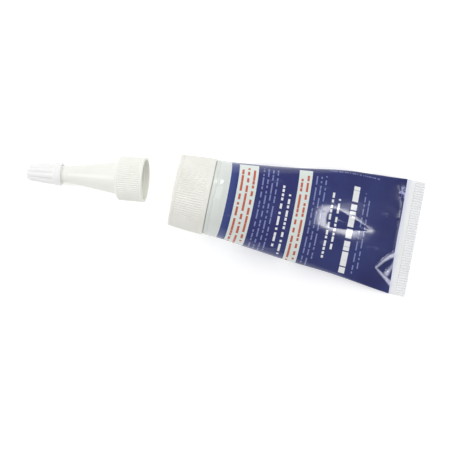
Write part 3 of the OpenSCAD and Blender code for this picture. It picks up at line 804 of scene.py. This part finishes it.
def buildCrimpRidges():
    # corrugated end of the crimp: a fine grid with a wave across it, thickened upwards
    tree, given, result = startTree(
        "crimpRidges", "GeometryNodeTree",
        {"Geometry": "Geometry", "Length": "Float", "Width": "Float", "Thickness": "Float", "Ridges": "Int",
         "Height": "Float", "Fade": "Float", "Material": "Material"}, {"Geometry": "Geometry"})
    across = spread(tree, given["Ridges"], 1.0, ridgeGrid["perRidge"])
    grid = put(tree, "GeometryNodeMeshGrid", {
        "Size X": given["Length"], "Size Y": given["Width"], "Vertices X": ridgeGrid["along"],
        "Vertices Y": across})
    here = separate(tree, put(tree, "GeometryNodeInputPosition").outputs[0])
    turns = times(tree, given["Ridges"], math.tau)
    phase = times(tree, calc(tree, "DIVIDE", here["Y"], given["Width"]), turns)
    wave = times(tree, calc(tree, "SINE", phase), times(tree, given["Height"], 0.5))
    fromEdge = calc(tree, "ADD", here["X"], times(tree, given["Length"], 0.5))
    rise = ease(tree, fromEdge, 0.0, given["Fade"])
    # the edge dips under the smooth strip that it joins
    dipEnd = times(tree, given["Fade"], ridgeGrid["dipShare"])
    dip = ease(tree, fromEdge, 0.0, dipEnd, ridgeGrid["dip"], 0.0)
    lifted = put(tree, "GeometryNodeSetPosition", {
        "Geometry": grid.outputs["Mesh"],
        "Offset": combine(tree, 0.0, 0.0, spread(tree, wave, dip, rise))}).outputs[0]
    top = put(tree, "GeometryNodeExtrudeMesh", {
        "Mesh": lifted, "Offset": combine(tree, 0.0, 0.0, 1.0), "Offset Scale": given["Thickness"],
        "Individual": False}, mode="FACES").outputs["Mesh"]
    under = put(tree, "GeometryNodeFlipFaces", (lifted,)).outputs[0]
    both = put(tree, "GeometryNodeJoinGeometry")
    for part in (top, under):
        tree.links.new(part, both.inputs[0])
    closed = put(tree, "GeometryNodeMergeByDistance", {"Geometry": both.outputs[0], "Distance": weld})
    return finishTree(tree, result, closed.outputs[0], given["Material"])


# print on the sleeve: places are mm along the tube and mm round its girth from the top line

film = {
    "printStart": 3.65, "printEnd": 75.6, "printSoft": 0.07, "girth": 94.25,
    "softAlong": 0.06, "softAround": 0.08,
    "bow": 1.4, "bowHalf": 23.5, "bowRun": (0.0, 70.0), "lean": (-0.004, 0.014), "leanRun": (4.0, 40.0),
    "panel": (-25.5, 18.8), "backPanel": (27.5, 66.5), "stripes": [(6.75, 14.4), (30.9, 36.3)],
    "fieldAlong": (55.6, 60.4), "fieldAround": (22.3, 31.0),
    "tickAround": (20.0, 20.6), "tickAlong": (43.0, 64.0, 0.1), "tickRate": 1.3, "tickRange": (0.4, 0.46),
    "tickShare": 0.6, "dashRate": 0.62, "dashSoft": 0.02,
    # broken rules: place along, width, start and end round the girth, seed of the dashes
    "orangeRules": [(8.3, 0.9, 15.5, -21.0, 3.1), (10.6, 0.9, 16.2, -23.0, 7.7),
                    (12.9, 0.9, 15.0, -17.5, 12.9), (32.4, 0.9, 15.0, -22.5, 17.3),
                    (34.8, 0.9, 16.0, -19.0, 23.1)],
    "paleRules": [(16.6, 0.55, 17.0, -20.5, 31.7), (18.5, 0.55, 17.0, -22.5, 36.1),
                  (20.4, 0.55, 17.0, -21.5, 41.9), (22.3, 0.55, 16.6, -19.0, 47.3),
                  (38.3, 0.55, 17.0, -21.0, 52.9), (40.2, 0.55, 16.4, -22.0, 58.3),
                  (42.1, 0.55, 17.0, -16.5, 63.7), (59.3, 0.5, 13.5, -19.0, 99.7),
                  (61.2, 0.5, 11.0, -16.5, 104.9)],
    "whiteRules": [(25.4, 0.9, 10.0, -14.5, 71.3), (28.3, 0.9, 7.0, -18.0, 77.9),
                   (46.1, 0.9, 12.0, -16.0, 83.3), (48.9, 0.9, 9.0, -12.0, 88.7)],
    "boldRules": [(55.2, 2.5, 15.2, -20.6, 94.1)],
    "orangeGaps": 0.41, "paleGaps": 0.43, "whiteGaps": 0.42, "boldGaps": 0.37, "paleShare": 0.85,
    # inks and bare film
    "navy": paint(40, 46, 110), "navyDeep": paint(34, 38, 98), "navyLight": paint(64, 82, 148),
    "pale": paint(140, 150, 200), "lilac": paint(168, 174, 222), "cream": paint(227, 235, 231),
    "orange": paint(198, 98, 78), "white": paint(242, 244, 247), "margin": paint(247, 248, 250),
    "bare": paint(225, 230, 226), "bareDeep": paint(220, 224, 223), "inkGlow": paint(229, 232, 248),
    "deepRun": (8.0, 72.0), "cloudShare": 0.28, "lightRun": (4.0, 9.0), "lightShare": 0.65,
    "marginRun": (60.0, 70.0), "bareShare": 0.15, "glowRun": (74.0, 76.6, 0.8),
    # wear and painted highlights: pale creases and a pale crumpled corner, partly worn print and partly
    # painted highlights, streaks, and the print's end pulled in by the crimp
    "stressSheenRange": (0.25, 0.9), "crackRange": (0.3, 0.6, 0.75, 1.0),
    "creasePale": paint(218, 220, 244), "cornerAlong": (73.2, 76.0, 0.5), "cornerAround": (15.4, 19.6, 0.7),
    "cornerRange": (0.4, 0.6), "cornerPale": paint(178, 180, 226), "streakShare": 0.1,
    "pullMiddle": -3.0, "pull": (1.0, 14.0, 0.3, 0.0), "pullLean": 0.0065,
    "roughRun": (74.2, 75.6, 0.09, 0.3), "grainRough": 0.06, "streakRough": 0.12,
}


def buildBrokenRule():
    # a thin printed rule across the tube, broken into dashes of uneven length
    labels = ("Along", "Around", "Middle", "Half", "From", "To", "Seed", "Gaps")
    tree, given, result = startTree(
        "brokenRule", "ShaderNodeTree", dict.fromkeys(labels, "Float"), {"Mask": "Float"})

    def past(value, limit, soft, *ends):
        return ease(tree, calc(tree, "SUBTRACT", value, limit), -soft, soft, *ends)

    off = calc(tree, "ABSOLUTE", calc(tree, "SUBTRACT", given["Along"], given["Middle"]))
    line = past(off, given["Half"], film["softAlong"], 1.0, 0.0)
    below = past(given["Around"], given["From"], film["softAround"], 1.0, 0.0)
    above = past(given["Around"], given["To"], film["softAround"])
    dash = lineNoise(tree, spread(tree, given["Around"], given["Seed"], film["dashRate"]))
    on = past(dash, given["Gaps"], film["dashSoft"])
    feed(tree, result[0], times(tree, line, on, below, above))
    return tree


brokenRule = buildBrokenRule()


def printedFilm():
    material, tree = startMaterial("printedFilm")
    place = separate(tree, put(tree, "ShaderNodeUVMap", uv_map="printMap").outputs[0])
    lengthwise, around = place["X"], place["Y"]
    # the print's edge bows towards the crimp along the top, and leans a little
    crown = calc(tree, "POWER", calc(tree, "DIVIDE", around, film["bowHalf"]), 2.0)
    crown = calc(tree, "MAXIMUM", calc(tree, "SUBTRACT", 1.0, crown), -1.0)
    bow = times(tree, crown, ease(tree, lengthwise, *film["bowRun"], film["bow"], 0.0))
    lean = times(tree, around, ease(tree, lengthwise, *film["leanRun"], *film["lean"]))
    along = calc(tree, "ADD", calc(tree, "SUBTRACT", lengthwise, bow), lean)
    texture = useGroup(tree, mouldGrain, {"Fine Scale": 1500.0, "Broad Scale": 55.0})
    marks = useGroup(tree, handlingMarks, {"Streak Scale": 300.0, "Speck Scale": 480.0})

    def rules(kind):
        return largest(tree, [useGroup(tree, brokenRule, {
            "Along": along, "Around": around, "Middle": middle, "Half": width / 2, "From": start, "To": end,
            "Seed": seed, "Gaps": film[kind + "Gaps"]})["Mask"]
            for middle, width, start, end, seed in film[kind + "Rules"]])

    def patch(alongLimits, aroundLimits):
        return times(tree, between(tree, along, *alongLimits), between(tree, around, *aroundLimits))

    # navy ground, lighter by the shoulder, with pale, white and bold rules
    ground = tint(tree, ease(tree, along, *film["deepRun"]), film["navy"], film["navyDeep"])
    ground = tint(tree, times(tree, texture["Broad"], film["cloudShare"]), ground, film["navyLight"])
    lighter = ease(tree, along, *film["lightRun"], film["lightShare"], 0.0)
    ground = tint(tree, lighter, ground, film["navyLight"])
    ground = tint(tree, times(tree, rules("pale"), film["paleShare"]), ground, film["pale"])
    ground = tint(tree, rules("white"), ground, film["white"])
    ground = tint(tree, rules("bold"), ground, film["white"])
    # fine dashed line along the upper side, as on a fill mark
    mark = patch(film["tickAlong"], (*film["tickAround"], film["softAlong"]))
    ticks = ease(tree, lineNoise(tree, times(tree, along, film["tickRate"])), *film["tickRange"])
    ground = tint(tree, times(tree, mark, ticks, film["tickShare"]), ground, film["pale"])
    # cream stripes with orange rules, on the front and back panels
    wrapped = calc(tree, "FLOORED_MODULO", around, film["girth"])
    panel = largest(tree, [between(tree, around, *film["panel"], film["softAround"]),
                           between(tree, wrapped, *film["backPanel"], film["softAround"])])
    stripe = largest(tree, [between(tree, along, *limits, film["softAlong"]) for limits in film["stripes"]])
    stripe = times(tree, stripe, panel)
    ground = tint(tree, stripe, ground, film["cream"])
    ground = tint(tree, times(tree, rules("orange"), stripe), ground, film["orange"])
    # a blank white field on the far flank
    field = patch((*film["fieldAlong"], film["softAlong"]), (*film["fieldAround"], film["softAround"]))
    ground = tint(tree, field, ground, film["white"])
    # wear of the print and painted highlights: pale creases and pale marks on the crumpled corner by the
    # crimp, partly stress-whitened print and partly painted highlights
    stressAndSheen = put(tree, "ShaderNodeAttribute", attribute_name="stressAndSheen").outputs["Fac"]
    crack = noise(tree, objectPlace(tree), scale=900.0, detail=3.0)
    paled = times(tree, ease(tree, stressAndSheen, *film["stressSheenRange"]), ease(tree, crack, *film["crackRange"]))
    ground = tint(tree, paled, ground, film["creasePale"])
    # pale lilac marks on the crumpled corner: partly worn print, partly painted highlights of the crumples
    corner = patch(film["cornerAlong"], film["cornerAround"])
    crumpleWearAndSheen = times(tree, corner, ease(tree, crack, *film["cornerRange"]))
    ground = tint(tree, crumpleWearAndSheen, ground, film["cornerPale"])
    ground = tint(tree, times(tree, marks["Streaks"], film["streakShare"]), ground, film["lilac"])
    # the print stops a little short where the crimp pulled the film in
    offMiddle = calc(tree, "ABSOLUTE", calc(tree, "SUBTRACT", around, film["pullMiddle"]))
    short = spread(tree, around, ease(tree, offMiddle, *film["pull"]), film["pullLean"])
    start, end, soft = film["printStart"], film["printEnd"], film["printSoft"]
    inked = times(tree, ease(tree, along, start - soft, start + soft),
                  ease(tree, calc(tree, "ADD", along, short), end - soft, end + soft, 1.0, 0.0))
    # bare film, where a little ink shows through the folded margin
    blank = tint(tree, ease(tree, lengthwise, *film["marginRun"]), film["bare"], film["margin"])
    blank = tint(tree, times(tree, texture["Broad"], film["bareShare"]), blank, film["bareDeep"])
    blank = tint(tree, between(tree, lengthwise, *film["glowRun"]), blank, film["inkGlow"])
    # glossy film, satin where the crimp is pressed
    rough = spread(tree, texture["Fine"], ease(tree, lengthwise, *film["roughRun"]), film["grainRough"])
    return coat(material, {
        "Base Color": tint(tree, inked, blank, ground),
        "Roughness": spread(tree, marks["Streaks"], rough, film["streakRough"]),
        "Normal": bump(tree, texture["Fine"], distance=0.000008, strength=0.4), "Specular IOR Level": 0.5})


filmFinish = printedFilm()


def finishMesh(bm, piece):
    bmesh.ops.recalc_face_normals(bm, faces=bm.faces)
    for face in bm.faces:
        face.smooth = True
    bm.to_mesh(piece.data)
    bm.free()


def buildSleeve():
    piece = addObject("printedSleeve")
    bm = bmesh.new()
    sides = sleeve["sides"]

    def skin(end, inset):
        return loft(bm, [(x, sleeveRing(x, inset, sides)) for x in skinStations(end)], sides)

    outer = skin(sleeve["crimpStart"] + sleeve["crimpStrip"] + sleeve["stripLap"], 0.0)[0]
    inner, inside = skin(sleeve["cavityEnd"], sleeve["wall"])
    for n in range(sides):
        m = (n + 1) % sides
        inside.append(bm.faces.new((outer[0][m], outer[0][n], inner[0][n], inner[0][m])))
    for face in inside:
        face.material_index = 1
    finishMesh(bm, piece)
    piece.data.materials.append(filmFinish)
    piece.data.materials.append(plastics["naturalPlastic"])
    return piece


def buildCrimpBand():
    length = sleeve["crimpBand"] + sleeve["bandLap"]
    band = runTree(addObject("crimpBand"), buildCrimpRidges(), {
        "Length": length * mm, "Width": 2 * sleeve["crimpHalf"] * mm, "Thickness": sleeve["crimpThick"] * mm,
        "Ridges": sleeve["ridges"], "Height": sleeve["ridgeHeight"] * mm, "Fade": sleeve["ridgeFade"] * mm,
        "Material": filmFinish})
    middle = sleeve["length"] - length / 2
    coords = np.zeros(len(band.data.vertices) * 3)
    band.data.vertices.foreach_get("co", coords)
    coords = coords.reshape(-1, 3)
    coords[:, 0] += middle * mm - sleeve["lean"] * coords[:, 1] + tubeEnd
    coords[:, 2] += sleeve["crimpLow"] * mm
    band.data.vertices.foreach_set("co", coords.ravel())
    uv = band.data.uv_layers.get("printMap") or band.data.uv_layers.new(name="printMap")
    for loop in band.data.loops:
        uv.data[loop.index].uv = (middle, coords[loop.vertex_index][1] / mm)
    band.data.shade_smooth()
    band.data.set_sharp_from_angle(angle=math.radians(sleeve["ridgeSharp"]))
    return band


printedSleeve = buildSleeve()
joinInto(printedSleeve, buildCrimpBand())
print("sleeve:", len(printedSleeve.data.polygons), "faces")

# grease: the paste inside, which follows the sleeve's hollows and ends before the crimp; sizes in mm

grease = {
    "inset": 0.75, "start": 2.75, "end": 72.4, "plugRadius": 13.1, "plugStart": 0.25,
    "outletRadius": 3.25, "outletEnd": -12.27, "sides": 120, "everyRing": 2,
    "under": paint(120, 121, 126), "over": paint(150, 151, 156), "fineScale": 1200.0, "broadScale": 140.0,
    "rough": (0.22, 0.25), "bumpDepth": 0.0002, "bumpShare": 0.6, "metal": 0.0,
}

# foil over the neck's lip, and the foamed wad under the cap's end

foil = {
    "under": paint(205, 208, 212), "over": paint(226, 228, 230), "fineScale": 3000.0, "broadScale": 420.0,
    "rough": (0.2, 0.2), "bumpDepth": 0.0001, "bumpShare": 0.5, "metal": 1.0,
}

wad = {
    "under": paint(232, 229, 216), "over": paint(206, 203, 190), "fineScale": 2600.0, "cellScale": 2600.0,
    "rough": (0.65, 0.2), "bumpDepth": 0.00006, "bumpShare": 0.6, "metal": 0.0,
}


def plainFinish(name, look):
    # two shades and a bump that follow one pattern: foam cells, or else broad unevenness
    material, tree = startMaterial(name)
    scales = {"Fine Scale": look["fineScale"], "Broad Scale": look.get("broadScale")}
    texture = useGroup(tree, mouldGrain, scales)
    pattern = texture["Broad"]
    if "cellScale" in look:
        pattern = cells(tree, objectPlace(tree), look["cellScale"])
    return coat(material, {
        "Base Color": tint(tree, pattern, look["under"], look["over"]),
        "Roughness": spread(tree, texture["Fine"], *look["rough"]),
        "Normal": bump(tree, pattern, look["bumpDepth"], look["bumpShare"]), "Metallic": look["metal"]})


def buildGrease():
    piece = addObject("greaseFilling")
    bm = bmesh.new()
    sides, start, inset = grease["sides"], grease["start"], grease["inset"]
    neck = ((grease["outletEnd"], grease["outletRadius"]), (grease["plugStart"], grease["outletRadius"]),
            (grease["plugStart"], grease["plugRadius"]), (start, grease["plugRadius"]))
    sections = [(x, roundRing(x, radius, sides)) for x, radius in neck]
    stations = skinStations(grease["end"])
    stations = [start, *stations[stations > start][::grease["everyRing"]]]
    sections += [(x, sleeveRing(x, inset, sides)) for x in stations]
    rings = loft(bm, sections, sides)[0]
    closeRing(bm, rings[0], grease["outletEnd"], bm.loops.layers.uv["printMap"])
    finishMesh(bm, piece)
    piece.data.materials.append(plainFinish("greasePaste", grease))
    return piece


greaseFilling = buildGrease()
print("grease:", len(greaseFilling.data.polygons), "faces")


def dress(node, material):
    for slotRow in frame["nodes"][node].material_slots:
        slotRow.material = material


dress("tube_head", plastics["naturalPlastic"])
dress("foil_seal", plainFinish("foilSheet", foil))
dress("cap_liner", plainFinish("foamWad", wad))

# which body each piece moves with, what it stands for and whose finish it takes

pieces = [
    (printedSleeve, "tube", "sleeve", "printed_sleeve"),
    (greaseFilling, "tube", "grease_fill", "grease"),
    (ribbedCap, "screw_cap", "screw_cap", "white_plastic"),
    (applicator, "nozzle", "nozzle", "white_plastic"),
    (flutedCap, "tip_cap", "tip_cap", "clean_white_plastic"),
]
for piece, body, node, slotName in pieces:
    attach(piece, body)
    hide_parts(node)
print("pieces ride on their bodies")

# studio: pale floor, one large softbox, three small lamps for the gloss and an even white surround; in metres

studio = {
    "floorSize": 30.0, "floor": paint(246, 246, 246), "floorDeep": paint(243, 243, 243),
    "floorGlow": 0.24, "backdropGlow": 0.1, "surround": 0.525, "white": (1.0, 1.0, 1.0, 1.0),
    # place, size, power
    "lamps": [("spotLamp", (-0.02, 0.50, 0.43), 0.1, 0.55), ("softbox", (-0.02, 0.28, 0.92), 0.6, 1.6),
              ("sideLamp", (0.695, 0.05, 0.565), 0.055, 0.21), ("endLamp", (-0.45, -0.06, 0.44), 0.1, 0.85)],
    "aim": (0.00365, -0.0100, 0.0155), "distance": 0.7245, "lens": 146.0, "turn": 11.7,
}


def buildFloor():
    floor = addObject("floor")
    half = studio["floorSize"] / 2
    corners = [(-half, -half, 0), (half, -half, 0), (half, half, 0), (-half, half, 0)]
    floor.data.from_pydata(corners, [], [(0, 1, 2, 3)])
    material, tree = startMaterial("paleFloor")
    texture = useGroup(tree, mouldGrain, {"Fine Scale": 300.0, "Broad Scale": 4.0})
    # the floor looks like a white backdrop, yet throws less light onto the sides of the pieces
    seen = put(tree, "ShaderNodeLightPath").outputs["Is Camera Ray"]
    floor.data.materials.append(coat(material, {
        "Base Color": tint(tree, texture["Broad"], studio["floor"], studio["floorDeep"]),
        "Roughness": 0.9, "Specular IOR Level": 0.1, "Emission Color": studio["white"],
        "Emission Strength": spread(tree, seen, studio["floorGlow"], studio["backdropGlow"])}))


def softBox(name, place, size, power):
    light = bpy.data.lights.new(name, "AREA")
    light.shape = "SQUARE"
    light.size = size
    light.energy = power
    lamp = addObject(name, light)
    lamp.location = place
    lamp.rotation_euler = (Vector(studio["aim"]) - Vector(place)).to_track_quat("-Z", "Y").to_euler()


def buildCamera():
    # straight above the set, and turned a little
    camera = addObject("camera", bpy.data.cameras.new("camera"))
    camera.data.lens = studio["lens"]
    camera.data.sensor_width = 36.0
    camera.data.clip_start, camera.data.clip_end = 0.01, 60.0
    place = Vector(studio["aim"]) + Vector((0, 0, studio["distance"]))
    camera.matrix_world = Matrix.Translation(place) @ Matrix.Rotation(math.radians(studio["turn"]), 4, "Z")
    scene.camera = camera


def buildSurround():
    scene.world = bpy.data.worlds.new("surround")
    scene.world.use_nodes = True
    background = scene.world.node_tree.nodes["Background"].inputs
    background["Color"].default_value = studio["white"]
    background["Strength"].default_value = studio["surround"]
    scene.view_settings.view_transform = "Standard"


buildFloor()
for lamp in studio["lamps"]:
    softBox(*lamp)
buildCamera()
buildSurround()
print("studio ready")
